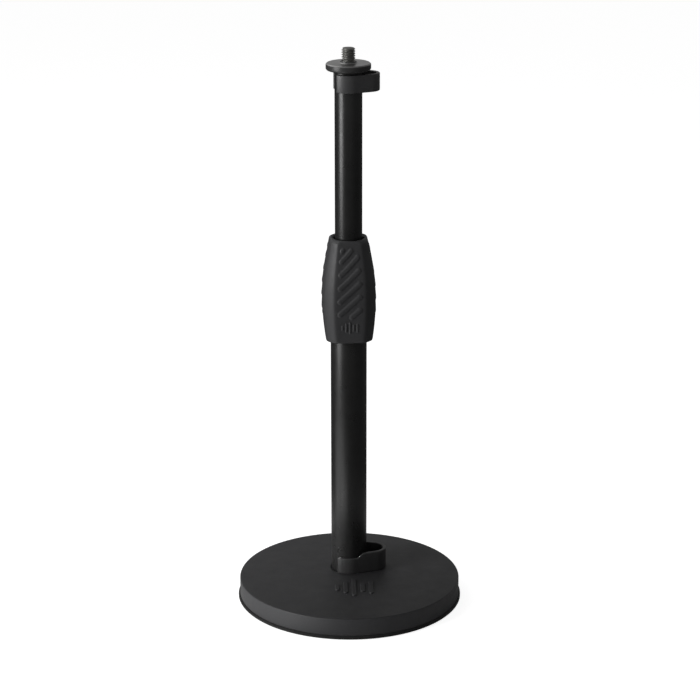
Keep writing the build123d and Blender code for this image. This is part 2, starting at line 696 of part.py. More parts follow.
# ---------------------------------------------------------------- export
# Each function's name is also its piece's label and file name.
PIECES = (
    base_plate, foot_ring, base_washer, spring_washer, base_bolt,
    tube_foot_insert, lower_tube,
    clutch_collar, collar_pins, collet, thrust_ring, clutch_nut, grip_sleeve,
    upper_tube, guide_bush, bush_rivet,
    tube_plug, thread_stud, disc_washer, lock_disc,
    upper_cable_clip, lower_cable_clip,
)

os.makedirs("parts", exist_ok=True)
for piece in PIECES:
    part = piece()
    part.label = piece.__name__
    export_step(part, f"parts/{piece.__name__}.step")
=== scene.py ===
"""A telescopic stand: round base, lower and upper tubes joined by a grip, lock disc and stud on top.

The base rests on z = 0, the mast is upright along +Z, and the camera looks from the front (-Y).
Lengths named here are millimetres unless a comment says metres; meshes are built in metres.
"""
import math

import bmesh
import bpy
import numpy as np
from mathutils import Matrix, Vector


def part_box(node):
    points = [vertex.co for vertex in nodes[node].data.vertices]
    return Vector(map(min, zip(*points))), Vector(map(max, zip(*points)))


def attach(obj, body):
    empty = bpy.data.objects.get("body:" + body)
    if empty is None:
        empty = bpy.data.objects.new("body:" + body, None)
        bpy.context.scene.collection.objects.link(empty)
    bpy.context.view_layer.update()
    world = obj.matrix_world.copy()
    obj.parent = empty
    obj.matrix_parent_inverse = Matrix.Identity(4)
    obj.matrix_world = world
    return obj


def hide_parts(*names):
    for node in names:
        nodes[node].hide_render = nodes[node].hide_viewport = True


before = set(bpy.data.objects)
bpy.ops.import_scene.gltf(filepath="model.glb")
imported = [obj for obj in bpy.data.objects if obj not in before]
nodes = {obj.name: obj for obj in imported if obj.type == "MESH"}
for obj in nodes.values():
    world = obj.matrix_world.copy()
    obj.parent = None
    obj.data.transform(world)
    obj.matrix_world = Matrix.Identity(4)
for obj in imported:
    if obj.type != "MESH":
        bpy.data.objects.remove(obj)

scene = bpy.context.scene
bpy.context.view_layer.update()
MM = 0.001                                   # metres in a millimetre

tube_low, tube_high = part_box("lower_tube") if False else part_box("lower_tube")
MAST = (0.0, 0.5 * (tube_low.y + tube_high.y))   # x and y of the mast's axis, metres

LOWER_RADIUS, LOWER_WALL = 12.7, 1.5
UPPER_RADIUS, UPPER_WALL = 9.525, 1.25


# ---------------------------------------------------------------- mesh helpers
def z_range(name):
    """Bottom and top of a CAD piece."""
    low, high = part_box(name)
    return low.z / MM, high.z / MM


def smoothstep(start, end, x):
    t = np.clip((x - start) / (end - start), 0.0, 1.0)
    return t * t * (3 - 2 * t)


def new_object(name, verts, faces, sharp_deg):
    mesh = bpy.data.meshes.new(name)
    mesh.from_pydata([tuple(v) for v in verts], [], faces)
    mesh.validate()
    mesh.update()
    bm = bmesh.new()
    bm.from_mesh(mesh)
    bmesh.ops.remove_doubles(bm, verts=bm.verts, dist=1e-7)
    bmesh.ops.recalc_face_normals(bm, faces=bm.faces)
    bm.to_mesh(mesh)
    bm.free()
    mesh.shade_smooth()
    mesh.set_sharp_from_angle(angle=math.radians(sharp_deg))
    ob = bpy.data.objects.new(name, mesh)
    scene.collection.objects.link(ob)
    return ob


def piece(ob, body, material, stands_for):
    """Paints a new object and puts it in place of a CAD piece."""
    ob.data.materials.append(material)
    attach(ob, body)
    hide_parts(stands_for)


def rounded(points, steps=5):
    """Rounds the corners of a closed outline. A point is (x, y) or (x, y, corner radius)."""
    out = []
    for i, (x, y, *radius) in enumerate(points):
        corner = np.array((x, y), float)
        if not radius:
            out.append((x, y))
            continue
        to_prev = np.array(points[i - 1][:2], float) - corner
        to_next = np.array(points[(i + 1) % len(points)][:2], float) - corner
        prev_length, next_length = np.linalg.norm(to_prev), np.linalg.norm(to_next)
        to_prev, to_next = to_prev / prev_length, to_next / next_length
        half = 0.5 * math.acos(max(-1.0, min(1.0, float(to_prev @ to_next))))
        if half > math.radians(88):          # nearly straight: nothing to round
            out.append((x, y))
            continue
        cut = min(radius[0] / math.tan(half), 0.49 * prev_length, 0.49 * next_length)
        arc = cut * math.tan(half)
        inward = (to_prev + to_next) / np.linalg.norm(to_prev + to_next)
        centre = corner + inward * (arc / math.sin(half))
        start = math.atan2(*(corner + to_prev * cut - centre)[::-1])
        end = math.atan2(*(corner + to_next * cut - centre)[::-1])
        sweep = (end - start + math.pi) % (2 * math.pi) - math.pi
        for k in range(steps + 1):
            t = start + sweep * k / steps
            out.append((centre[0] + arc * math.cos(t), centre[1] + arc * math.sin(t)))
    return out


def around_mast(radii, heights, angles):
    """Rows of points in metres from grids of radius and height."""
    x = MAST[0] + radii * MM * np.cos(angles)
    y = MAST[1] + radii * MM * np.sin(angles)
    return np.stack([x, y, heights * MM], -1).reshape(-1, 3)


def band(start, next_start, count):
    """Quads between two closed rings of vertices."""
    return [(start + k, start + (k + 1) % count, next_start + (k + 1) % count, next_start + k)
            for k in range(count)]


def lathe(name, outline, segments, displace=None, sharp_deg=38.0):
    """Turns a closed (radius, z) outline about the mast."""
    profile = np.array(outline, float)
    rows = len(profile)
    angles = np.linspace(0, 2 * math.pi, segments, endpoint=False)
    radii = np.repeat(profile[:, :1], segments, 1)
    heights = np.repeat(profile[:, 1:], segments, 1)
    if displace is not None:
        radii = radii + displace(radii, heights, angles)
    faces = []
    for i in range(rows):
        this, following = i * segments, (i + 1) % rows * segments
        for k in range(segments):
            beside = (k + 1) % segments
            faces.append((this + k, following + k, following + beside, this + beside))
    return new_object(name, around_mast(radii, heights, angles), faces, sharp_deg)


# ---------------------------------------------------------------- node helpers
class Graph:
    """Adds nodes to an emptied tree. An input is a number, a tuple or an output socket."""

    def __init__(self, tree):
        self.tree = tree
        tree.nodes.clear()

    def feed(self, socket, value):
        if isinstance(value, bpy.types.NodeSocket):
            self.tree.links.new(value, socket)
        elif socket.type == "RGBA":
            socket.default_value = (*value, 1)
        else:
            socket.default_value = value

    def node(self, kind, inputs=None, **settings):
        node = self.tree.nodes.new(kind)
        for key, value in settings.items():
            setattr(node, key, value)
        for key, value in (inputs or {}).items():
            self.feed(node.inputs[key], value)
        return node

    def calc(self, operation, *values):
        return self.node("ShaderNodeMath", dict(enumerate(values)), operation=operation).outputs[0]

    def mul(self, a, b):
        return self.calc("MULTIPLY", a, b)

    def remap(self, value, span=(0.3, 0.7), to=(0.0, 1.0), curve="LINEAR"):
        """Carries the range span onto the range to, clamped at both ends."""
        inputs = dict(zip(("From Min", "From Max", "To Min", "To Max"), (*span, *to)))
        inputs["Value"] = value
        return self.node("ShaderNodeMapRange", inputs, interpolation_type=curve).outputs["Result"]

    def smooth(self, value, span, to=(0.0, 1.0)):
        return self.remap(value, span, to, "SMOOTHSTEP")

    def xyz(self, vector):
        return self.node("ShaderNodeSeparateXYZ", {"Vector": vector}).outputs


class Material(Graph):
    """A node material with a Principled base, textured in object coordinates."""

    def __init__(self, name):
        self.material = bpy.data.materials.new(name)
        self.material.use_nodes = True
        super().__init__(self.material.node_tree)
        self.principled = self.node("ShaderNodeBsdfPrincipled")
        self.node("ShaderNodeOutputMaterial", {"Surface": self.principled.outputs["BSDF"]})
        self.coords = self.node("ShaderNodeTexCoord").outputs["Object"]
        self.normal = None

    def mapping(self, scale=(1, 1, 1), rotation=(0, 0, 0)):
        inputs = {"Scale": scale, "Rotation": rotation, "Vector": self.coords}
        return self.node("ShaderNodeMapping", inputs).outputs["Vector"]

    def noise(self, scale, detail=4, roughness=0.6, vector=None):
        inputs = {"Scale": scale, "Detail": detail, "Roughness": roughness,
                  "Vector": vector or self.mapping()}
        return self.node("ShaderNodeTexNoise", inputs).outputs["Fac"]

    def patches(self, scale, span=(0.3, 0.7), to=(0.0, 1.0), **noise):
        """Noise with the range span stretched onto the range to."""
        return self.remap(self.noise(scale, **noise), span, to)

    def voronoi(self, scale, feature, output):
        inputs = {"Scale": scale, "Vector": self.mapping()}
        return self.node("ShaderNodeTexVoronoi", inputs, feature=feature).outputs[output]

    def mix(self, mask, below, above, strength=None, blend="MIX"):
        """Lays one colour over another where the mask is 1, at most by strength."""
        if strength is not None:
            mask = self.mul(mask, strength)
        return self.node("ShaderNodeMix", {0: mask, 6: below, 7: above},
                         data_type="RGBA", blend_type=blend).outputs[2]

    def facing_up(self, span):
        """1 where the surface looks up; span is in terms of the normal's z."""
        normal = self.node("ShaderNodeNewGeometry").outputs["Normal"]
        return self.remap(self.xyz(normal)["Z"], span)

    def edge(self, radius, span):
        """1 on edges, 0 on faces, from a bevelled normal. The radius is in metres."""
        bevel = self.node("ShaderNodeBevel", {"Radius": radius}, samples=6)
        flat = self.node("ShaderNodeNewGeometry")
        dot = self.node("ShaderNodeVectorMath",
                        {0: bevel.outputs["Normal"], 1: flat.outputs["Normal"]},
                        operation="DOT_PRODUCT")
        return self.remap(self.calc("SUBTRACT", 1.0, dot.outputs["Value"]), span)

    def dust(self, span):
        """Faint settled dust: patchy, only where the surface looks up."""
        up = self.facing_up(span=(0.6, 1.0))
        return self.mul(up, self.patches(scale=55, detail=5, span=span))

    def bump(self, height, strength, distance):
        """Adds relief on top of earlier bumps. The distance is in metres."""
        inputs = {"Strength": strength, "Distance": distance, "Height": height}
        if self.normal is not None:
            inputs["Normal"] = self.normal
        self.normal = self.node("ShaderNodeBump", inputs).outputs["Normal"]
        self.feed(self.principled.inputs["Normal"], self.normal)

    def surface(self, **values):
        names = {"color": "Base Color", "roughness": "Roughness", "metallic": "Metallic",
                 "specular": "Specular IOR Level", "anisotropic": "Anisotropic",
                 "subsurface": "Subsurface Weight", "scatter": "Subsurface Radius"}
        for key, value in values.items():
            self.feed(self.principled.inputs[names[key]], value)


def grey(value, blue=1.0):
    return (value, value, value * blue)


# ---------------------------------------------------------------- materials
def base_coat():
    m = Material("base_powder_coat")
    grain = m.noise(scale=2600, detail=3)
    color = m.mix(m.patches(scale=16), below=(0.0290, 0.0290, 0.0310),
                  above=(0.0345, 0.0345, 0.0365))
    color = m.mix(m.remap(grain, span=(0.45, 0.8), to=(0.0, 0.5)), color,
                  above=(0.046, 0.046, 0.049))
    # painted shade: the top darkens toward the front right, across a span in metres, standing for
    # light falling off away from the back left
    place = m.xyz(m.coords)
    across = m.calc("SUBTRACT", place["Y"], place["X"])
    ramp = m.node("ShaderNodeValToRGB", {"Fac": m.remap(across, span=(-0.11, 0.11))})
    for element, shade in zip(ramp.color_ramp.elements, (0.32, 1.0)):
        element.color = (*grey(shade), 1)
    painted_shade_top = m.mix(1.0, color, ramp.outputs["Color"], blend="MULTIPLY")
    color = m.mix(m.facing_up(span=(0.3, 0.8)), color, painted_shade_top)
    edge_wear_and_highlight = m.mul(m.edge(radius=0.0009, span=(0.04, 0.3)), m.patches(scale=140, span=(0.42, 0.62)))
    # lighter edges: partly real wear, partly a painted highlight on the rim and the emblem's bars
    color = m.mix(edge_wear_and_highlight, color, above=(0.080, 0.080, 0.083), strength=0.55)
    color = m.mix(m.dust(span=(0.55, 0.8)), color, above=grey(0.11), strength=0.10)
    polish = m.mul(edge_wear_and_highlight, 0.12)               # worn edges are smoother
    roughness = m.calc("SUBTRACT", m.patches(scale=70, to=(0.50, 0.60)), polish)
    m.surface(color=color, roughness=roughness, specular=0.5)
    m.bump(m.noise(scale=620, detail=2, roughness=0.5), strength=0.16, distance=0.00030)
    m.bump(grain, strength=0.22, distance=0.00012)
    return m.material


def tube_enamel():
    m = Material("tube_satin_enamel")
    color = m.mix(m.patches(scale=30, detail=3, roughness=0.5), below=grey(0.0120),
                  above=(0.0155, 0.0155, 0.0153))
    lines = m.noise(scale=900, detail=3, vector=m.mapping(scale=(1, 1, 0.012)))
    hairs = m.patches(scale=1500, detail=2, roughness=0.5, span=(0.70, 0.76),
                      vector=m.mapping(scale=(1, 1, 0.02), rotation=(0.0, 0.06, 0)))
    color = m.mix(hairs, color, above=grey(0.05), strength=0.12)
    ripple = m.mul(m.remap(lines, to=(-1, 1)), 0.02)     # the lines' share of the roughness
    roughness = m.calc("ADD", m.patches(scale=120, to=(0.27, 0.35)), ripple)
    m.surface(color=color, roughness=roughness, specular=0.5)
    m.bump(m.noise(scale=420, detail=2, roughness=0.5), strength=0.10, distance=0.00020)
    m.bump(m.noise(scale=2400, detail=2), strength=0.10, distance=0.00004)
    m.bump(lines, strength=0.05, distance=0.00005)
    return m.material


def ring_rubber():
    m = Material("ring_rubber")
    base = 0.0085
    color = m.mix(m.noise(scale=90), below=grey(base), above=grey(base * 1.7))
    color = m.mix(m.patches(scale=380, roughness=0.7, span=(0.58, 0.75)), color,
                  above=grey(base * 3.5), strength=0.35)
    m.surface(color=color, roughness=m.patches(scale=200, detail=3, to=(0.62, 0.78)),
              specular=0.35)
    m.bump(m.noise(scale=1900, detail=3), strength=0.30, distance=0.00012)
    m.bump(m.noise(scale=300, detail=3), strength=0.12, distance=0.00030)
    return m.material


def grip_rubber():
    m = Material("grip_soft_rubber")
    color = m.mix(m.patches(scale=45, detail=3, roughness=0.55), below=(0.0310, 0.0310, 0.0325),
                  above=(0.0365, 0.0365, 0.0385))
    rubbed = m.mul(m.edge(radius=0.0007, span=(0.02, 0.22)),
                   m.patches(scale=160, span=(0.35, 0.6), to=(0.2, 1.0)))
    color = m.mix(rubbed, color, above=(0.058, 0.058, 0.061), strength=0.5)
    color = m.mix(m.dust(span=(0.5, 0.75)), color, above=grey(0.10), strength=0.10)
    polish = m.mul(rubbed, 0.10)             # rubbed edges are smoother
    roughness = m.calc("SUBTRACT", m.patches(scale=150, to=(0.47, 0.57)), polish)
    m.surface(color=color, roughness=roughness, specular=0.5)
    m.bump(m.voronoi(scale=2100, feature="SMOOTH_F1", output="Distance"),
           strength=0.12, distance=0.00008)
    m.bump(m.noise(scale=900, detail=3), strength=0.10, distance=0.00010)
    return m.material


def clip_plastic(name, dark, light, edge_wear_and_highlight):
    m = Material(name)
    blue = 1.02
    color = m.mix(m.patches(scale=60, detail=3, roughness=0.5), below=grey(dark, blue),
                  above=grey(light, blue))
    # lighter edges: partly real wear, partly a painted highlight along the edges
    color = m.mix(m.edge(radius=0.0005, span=(0.03, 0.3)), color, above=grey(edge_wear_and_highlight, blue),
                  strength=0.6)
    scuffs = m.patches(scale=700, detail=3, span=(0.66, 0.74),
                       vector=m.mapping(scale=(1, 1, 6), rotation=(0.5, 0.2, 0.3)))
    color = m.mix(scuffs, color, above=grey(0.05), strength=0.15)
    m.surface(color=color, roughness=m.patches(scale=180, to=(0.34, 0.43)), specular=0.5)
    m.bump(m.noise(scale=1600, detail=3), strength=0.10, distance=0.00007)
    m.bump(m.noise(scale=260, detail=2, roughness=0.5), strength=0.06, distance=0.00020)
    return m.material


def black_plastic(name, dark, light, roughness):
    m = Material(name)
    color = m.mix(m.noise(scale=70, detail=3, roughness=0.5), below=grey(dark), above=grey(light))
    color = m.mix(m.edge(radius=0.0004, span=(0.03, 0.3)), color, above=grey(0.05), strength=0.4)
    m.surface(color=color, roughness=m.patches(scale=260, to=roughness), specular=0.45)
    m.bump(m.noise(scale=1500, detail=3), strength=0.18, distance=0.00008)
    return m.material


def natural_nylon():
    m = Material("natural_nylon")
    color = m.mix(m.noise(scale=80), below=(0.66, 0.63, 0.55), above=(0.74, 0.71, 0.63))
    m.surface(color=color, roughness=m.patches(scale=300, to=(0.38, 0.52)), specular=0.45,
              subsurface=0.12, scatter=(0.002, 0.0015, 0.001))
    m.bump(m.noise(scale=900, detail=3), strength=0.10, distance=0.00010)
    return m.material


def turned_metal(name, dark, light, roughness, pitch, anisotropic, pits, rim=None):
    """Lathe-turned metal: fine rings about the mast. pitch sets how close they lie.

    rim is the colour, darker and less metallic, of the faces that don't look up, under the lighter
    top face.
    """
    m = Material(name)
    place = m.xyz(m.node("ShaderNodeVectorMath", {0: m.coords, 1: (*MAST, 0)},
                         operation="SUBTRACT").outputs["Vector"])
    squares = [m.calc("POWER", place[axis], 2.0) for axis in "XY"]
    radius = m.calc("SQRT", m.calc("ADD", *squares))
    along = m.calc("ADD", radius, m.mul(place["Z"], 1.0))    # rings run on faces and walls alike
    rings = m.node("ShaderNodeTexNoise", noise_dimensions="1D",
                   inputs={"Scale": 1.0, "Detail": 3, "W": m.mul(along, pitch)}).outputs["Fac"]
    color = m.mix(m.patches(scale=120), below=dark, above=light)
    color = m.mix(m.remap(rings, span=(0.35, 0.65)), color, above=tuple(c * 0.72 for c in dark),
                  strength=0.12)
    color = m.mix(m.patches(scale=1300, roughness=0.7, span=(0.66, 0.74)), color,
                  above=grey(0.08), strength=pits)
    metallic = 1.0
    if rim is not None:
        face = m.facing_up(span=(0.45, 0.95))
        color = m.mix(face, below=rim, above=color)
        metallic = m.remap(face, span=(0.0, 1.0), to=(0.15, 1.0))
    m.surface(color=color, roughness=m.patches(scale=240, to=roughness), metallic=metallic,
              anisotropic=anisotropic)
    m.bump(rings, strength=0.06, distance=0.00003)
    m.bump(m.noise(scale=500, detail=3), strength=0.05, distance=0.00010)
    return m.material


def zinc_plate():
    m = Material("zinc_plate")
    cells = m.voronoi(scale=420, feature="F1", output="Color")
    shade = m.node("ShaderNodeRGBToBW", {"Color": cells}).outputs["Val"]
    color = m.mix(shade, below=(0.46, 0.46, 0.44), above=(0.60, 0.60, 0.58))
    color = m.mix(m.patches(scale=300, detail=5, roughness=0.7, span=(0.6, 0.75)), color,
                  above=(0.22, 0.21, 0.19), strength=0.4)
    m.surface(color=color, roughness=m.remap(shade, span=(0, 1), to=(0.28, 0.42)), metallic=1.0)
    m.bump(m.noise(scale=1100, detail=3), strength=0.12, distance=0.00008)
    return m.material


BASE = base_coat()
TUBE = tube_enamel()
RING = ring_rubber()
GRIP = grip_rubber()
# one plastic in two painted copies: lighter on the upper clip for the light on it, darker on the
# lower clip for the shade near the base
CLIP = clip_plastic("clip_moulded_plastic", dark=0.0560, light=0.0650, edge_wear_and_highlight=0.105)
CLIP_LOW_PAINTED_SHADE = clip_plastic("clip_plastic_low_painted_shade", dark=0.0270, light=0.0325, edge_wear_and_highlight=0.110)
BLACK = black_plastic("black_moulding", dark=0.011, light=0.016, roughness=(0.42, 0.55))
WASHER = black_plastic("black_slip_washer", dark=0.010, light=0.015, roughness=(0.36, 0.46))
PLUG = black_plastic("blackened_steel", dark=0.012, light=0.018, roughness=(0.30, 0.40))
NYLON = natural_nylon()
DISC = turned_metal("turned_dark_nickel", dark=(0.38, 0.378, 0.373), light=(0.44, 0.437, 0.431),
                    roughness=(0.30, 0.36), pitch=5200, anisotropic=0.2, pits=0.10,
                    rim=grey(0.045))
STUD = turned_metal("thread_dark_nickel", dark=(0.21, 0.21, 0.20), light=(0.26, 0.26, 0.245),
                    roughness=(0.50, 0.60), pitch=2600, anisotropic=0.1, pits=0.2)
BARE = turned_metal("turned_steel", dark=grey(0.38), light=grey(0.46),
                    roughness=(0.30, 0.42), pitch=3000, anisotropic=0.3, pits=0.35)
ZINC = zinc_plate()

for name, material in {
    "base_plate": BASE, "foot_ring": RING, "base_bolt": ZINC, "base_washer": ZINC,
    "spring_washer": ZINC, "tube_foot_insert": BARE, "lower_tube": TUBE, "clutch_collar": BLACK,
    "collar_pins": ZINC, "collet": NYLON, "thrust_ring": NYLON, "clutch_nut": BLACK,
    "grip_sleeve": GRIP, "upper_tube": TUBE, "guide_bush": NYLON, "bush_rivet": ZINC,
    "tube_plug": PLUG, "thread_stud": STUD, "disc_washer": WASHER, "lock_disc": DISC,
    "upper_cable_clip": CLIP, "lower_cable_clip": CLIP_LOW_PAINTED_SHADE,
}.items():
    ob = nodes[name]
    if len(ob.material_slots):
        for slot in ob.material_slots:
            slot.material = material
    else:
        ob.data.materials.append(material)


# ---------------------------------------------------------------- tubes
def tube(name, body, node, radius, wall, top_round, segments):
    bottom, top = z_range(node)
    bore = radius - wall
    outline = rounded([(radius, bottom, 0.3), (radius, top, top_round),
                       (bore, top, 0.2), (bore, bottom, 0.2)], steps=3)
    piece(lathe(name, outline, segments), body, TUBE, node)


tube("lower_tube_shell", "stand", "lower_tube", LOWER_RADIUS, LOWER_WALL,
     top_round=0.35, segments=160)
tube("upper_tube_shell", "mast", "upper_tube", UPPER_RADIUS, UPPER_WALL,
     top_round=0.3, segments=144)

# ---------------------------------------------------------------- grip
GRIP_FOOT, GRIP_TOP = z_range("grip_sleeve")
# (height above the grip's foot, radius)
GRIP_PROFILE = np.array([
    (0, 16.1), (0.22, 16.7), (0.6, 17.2), (1.2, 17.55), (2.1, 17.75), (4.0, 18.0), (7.1, 18.4),
    (13.5, 19.1), (21.5, 19.65), (30.0, 19.8), (35.5, 19.65), (41.5, 19.3), (47.9, 18.6),
    (54.0, 17.65), (59.7, 16.55), (64.1, 15.7), (68.1, 15.0), (70.1, 14.65), (71.3, 14.35),
    (72.15, 13.92), (72.75, 13.4), (73.05, 12.95), (73.18, 12.6)])
GRIP_WIDEST = GRIP_PROFILE[:, 1].max()

# in plan a rounded square: reach of flats and corners as shares of the radius, and their blend
FLAT, CORNER, BLEND = 0.930, 1.083, 0.020
PANELS = [math.radians(-90 + 2.5 + 90 * k) for k in range(4)]    # the first faces the front
PANEL_HALF = 0.75                            # radians either side of a panel's middle

RIB_SLOPE, RIB_PITCH, RIB_HALF = 0.92, 9.35, 1.65
RIB_REACH = 6.8                              # half a rib's run across the panel
RIB_LOW, RIB_HIGH = GRIP_FOOT + 18.2 + 1.9, GRIP_FOOT + 68.6 - 1.9   # limits of rib centre lines
FIRST_RIB = GRIP_FOOT + 18.85
RIB_HEIGHT, RIB_CROWN = 0.38, 0.12

# upright bars low on the front panel: (place across, length)
BARS = ((-5.2, 3.4), (-2.6, 6.6), (0.0, 8.4), (2.6, 4.8), (5.2, 6.2))
BAR_MIDDLE, BAR_HALF, BAR_END, BAR_HEIGHT = GRIP_FOOT + 12.0, 0.62, 0.6, 0.36


def monotone(wanted, x, y):
    """Smooth interpolation without overshoot."""
    step = np.diff(x)
    slope = np.diff(y) / step
    tangent = np.zeros_like(y)
    tangent[0], tangent[-1] = slope[0], slope[-1]
    for i in range(1, len(y) - 1):
        before, after = slope[i - 1], slope[i]
        tangent[i] = 0 if before * after <= 0 else 2 * before * after / (before + after)
    i = np.clip(np.searchsorted(x, wanted) - 1, 0, len(step) - 1)
    t = (wanted - x[i]) / step[i]
    return ((2 * t**3 - 3 * t**2 + 1) * y[i] + (t**3 - 2 * t**2 + t) * step[i] * tangent[i]
            + (-2 * t**3 + 3 * t**2) * y[i + 1] + (t**3 - t**2) * step[i] * tangent[i + 1])


def rib_lines():
    """Slanted centre lines as (start across, end across, height at the panel's middle)."""
    lines = []
    for k in range(6):
        middle = FIRST_RIB + k * RIB_PITCH
        lines.append((max(-RIB_REACH, (RIB_LOW - middle) / RIB_SLOPE),
                      min(RIB_REACH, (RIB_HIGH - middle) / RIB_SLOPE), middle))
    lines.append((-6.7, -6.2, RIB_HIGH + RIB_SLOPE * 6.4))       # a stub in the top corner
    return lines


def rib_relief(across, height):
    nearest = np.full_like(across, 1e3)      # distance outside the nearest rib
    for start, end, middle in rib_lines():
        foot = middle + RIB_SLOPE * start
        run, rise = end - start, RIB_SLOPE * (end - start)
        t = ((across - start) * run + (height - foot) * rise) / (run * run + rise * rise)
        t = np.clip(t, 0, 1)
        distance = np.hypot(across - (start + t * run), height - (foot + t * rise))
        nearest = np.minimum(nearest, distance - RIB_HALF)
    return (RIB_HEIGHT * smoothstep(0.75, -0.65, nearest)
            + RIB_CROWN * np.clip(-nearest / RIB_HALF, 0, 1))


def bar_relief(across, height):
    relief = np.zeros_like(across)
    for place, length in BARS:
        beyond = np.maximum(np.abs(height - BAR_MIDDLE) - (length / 2 - BAR_END), 0)
        distance = np.hypot(across - place, beyond) - BAR_HALF
        relief += BAR_HEIGHT * smoothstep(0.25, -0.25, distance)
    return relief


def grip_relief(radii, heights, angles):
    """Flats, corners, ribs and bars; only the outer skin is moved."""
    moved = np.zeros_like(radii)
    radius, height = radii[:OUTER_ROWS], heights[:OUTER_ROWS]
    turns = [(angles - panel + math.pi) % (2 * math.pi) - math.pi for panel in PANELS]
    near = np.min(np.abs(turns), axis=0)
    shape = -BLEND * np.log(np.exp(-(FLAT / np.cos(near)) / BLEND) + np.exp(-CORNER / BLEND))
    # the square turns round again at the mouth
    fade = np.where(height > GRIP_FOOT + 60, smoothstep(12.3, 14.3, radius), 1.0)
    skin = radius * (shape[None, :] - 1.0) * fade
    for i, turn in enumerate(turns):
        on_panel = np.abs(turn) < PANEL_HALF
        across = radius * FLAT * np.tan(np.where(on_panel, turn, PANEL_HALF))[None, :]
        relief = rib_relief(across / (radius / GRIP_WIDEST), height)
        if i == 0:
            relief += bar_relief(across, height)
        skin += np.where(on_panel[None, :], relief, 0.0)
    moved[:OUTER_ROWS] = skin
    return moved


rises = np.concatenate([np.linspace(0, 2.5, 14)[:-1], np.arange(2.5, 70.0, 0.32),
                        np.linspace(70.1, 73.18, 18)])
outer = [(float(radius), float(GRIP_FOOT + z))
         for radius, z in zip(monotone(rises, *GRIP_PROFILE.T), rises)]
OUTER_ROWS = len(outer)
BORE, POCKET, FOOT_BORE = 10.8, 15.02, 13.2  # radii at the top, inside and at the foot
POCKET_TOP, POCKET_FOOT = GRIP_TOP - 15.68, GRIP_FOOT + 1.48
inner = rounded([
    (12.5, GRIP_TOP), (11.4, GRIP_TOP - 0.25, 0.3), (BORE, GRIP_TOP - 1.2, 0.6),
    (BORE, POCKET_TOP), (POCKET, POCKET_TOP), (POCKET, POCKET_FOOT), (FOOT_BORE, POCKET_FOOT),
    (FOOT_BORE, GRIP_FOOT, 0.3)], steps=4)
piece(lathe("grip_barrel", outer + inner, 560, displace=grip_relief, sharp_deg=50),
      "grip", GRIP, "grip_sleeve")

# ---------------------------------------------------------------- thread stud
STUD_RADIUS, STUD_PITCH, THREAD_DEPTH = 4.7625, 1.5875, 0.97
ROWS_PER_TURN, STUD_SEGMENTS = 16, 72
STUD_CHAMFER = 0.8
NECK_LOW, NECK_HIGH, NECK_RADIUS = 386.55, 387.5, 4.3    # a groove round the stud
END_RINGS = (0.93, 0.6, 0.25)                # shares of the end radius


def stud_thread():
    """A screw thread as one closed skin, with a helical ridge and a slightly dished end."""
    bottom, top = z_range("thread_stud")
    count = STUD_SEGMENTS
    rows = int(round((top - bottom) / STUD_PITCH * ROWS_PER_TURN))
    angles = np.linspace(0, 2 * math.pi, count, endpoint=False)
    heights, turns = np.meshgrid(np.linspace(bottom, top, rows + 1), angles, indexing="ij")
    phase = (heights / STUD_PITCH - turns / (2 * math.pi)) % 1.0
    wave = 1 - np.abs(2 * phase - 1)         # 0 at the root, 1 at the crest
    ridge = np.clip((wave - 0.22) / 0.70, 0, 1)
    ridge = 0.75 * ridge + 0.25 * smoothstep(0.0, 1.0, ridge)
    radii = STUD_RADIUS - THREAD_DEPTH * (1 - ridge)
    chamfer = np.clip(STUD_CHAMFER - (top - heights), 0, STUD_CHAMFER) * 1.15
    radii = np.minimum(radii, STUD_RADIUS - chamfer)
    neck = (smoothstep(NECK_LOW - 0.12, NECK_LOW + 0.12, heights)
            * smoothstep(NECK_HIGH + 0.12, NECK_HIGH - 0.12, heights))
    radii = radii * (1 - neck) + np.minimum(radii, NECK_RADIUS) * neck

    end_radius = radii[-1].mean()
    radii = np.vstack([radii] + [np.full(count, end_radius * f) for f in END_RINGS])
    heights = np.vstack([heights] + [np.full(count, top - 0.10 * (1 - f)) for f in END_RINGS])
    verts = list(around_mast(radii, heights, angles))
    rings = len(radii)
    faces = []
    for i in range(rings - 1):
        faces += band(i * count, (i + 1) * count, count)
    last, tip = (rings - 1) * count, rings * count
    foot = tip + 1
    verts += [(*MAST, (top - 0.12) * MM), (*MAST, bottom * MM)]
    faces += [(last + k, last + (k + 1) % count, tip) for k in range(count)]
    faces += [((k + 1) % count, k, foot) for k in range(count)]
    return new_object("stud_thread", verts, faces, sharp_deg=60)


piece(stud_thread(), "mast", STUD, "thread_stud")

# ---------------------------------------------------------------- lock disc and its washer
bottom, top = z_range("lock_disc")
DISC_RADIUS, DISC_BORE, LIP_RADIUS, FLARE = 15.5, 4.81, 5.5, 1.45
# a concave arc sweeping from the top face up to the lip
flare = [(LIP_RADIUS + FLARE - FLARE * math.cos(t), top - FLARE * math.sin(t))
         for t in np.linspace(math.pi / 2, 0.12, 9)]
disc_outline = rounded([
    (DISC_BORE, bottom, 0.2), (14.6, bottom, 0.7), (DISC_RADIUS, bottom + 0.9, 0.8),
    (DISC_RADIUS, bottom + 4.0, 0.8), (14.7, bottom + 4.8, 0.6), *flare,
    (LIP_RADIUS, top), (5.35, top), (DISC_BORE, top)], steps=6)
piece(lathe("lock_disc_turned", disc_outline, 192, sharp_deg=60),
      "lock_disc", DISC, "lock_disc")

bottom, top = z_range("disc_washer")
WASHER_RADIUS, WASHER_BORE = 10.0, 4.84
washer_outline = rounded([
    (WASHER_BORE, bottom, 0.1), (WASHER_RADIUS, bottom, 0.3), (WASHER_RADIUS, top, 0.3),
    (WASHER_BORE, top, 0.1)], steps=4)
piece(lathe("disc_slip_washer", washer_outline, 128),
      "disc_washer", WASHER, "disc_washer")

# ---------------------------------------------------------------- cable clips
STRIP, STRIP_ROUND, CLIP_GAP = 2.35, 0.60, 0.05    # thickness, edge rounding, gap to the tube


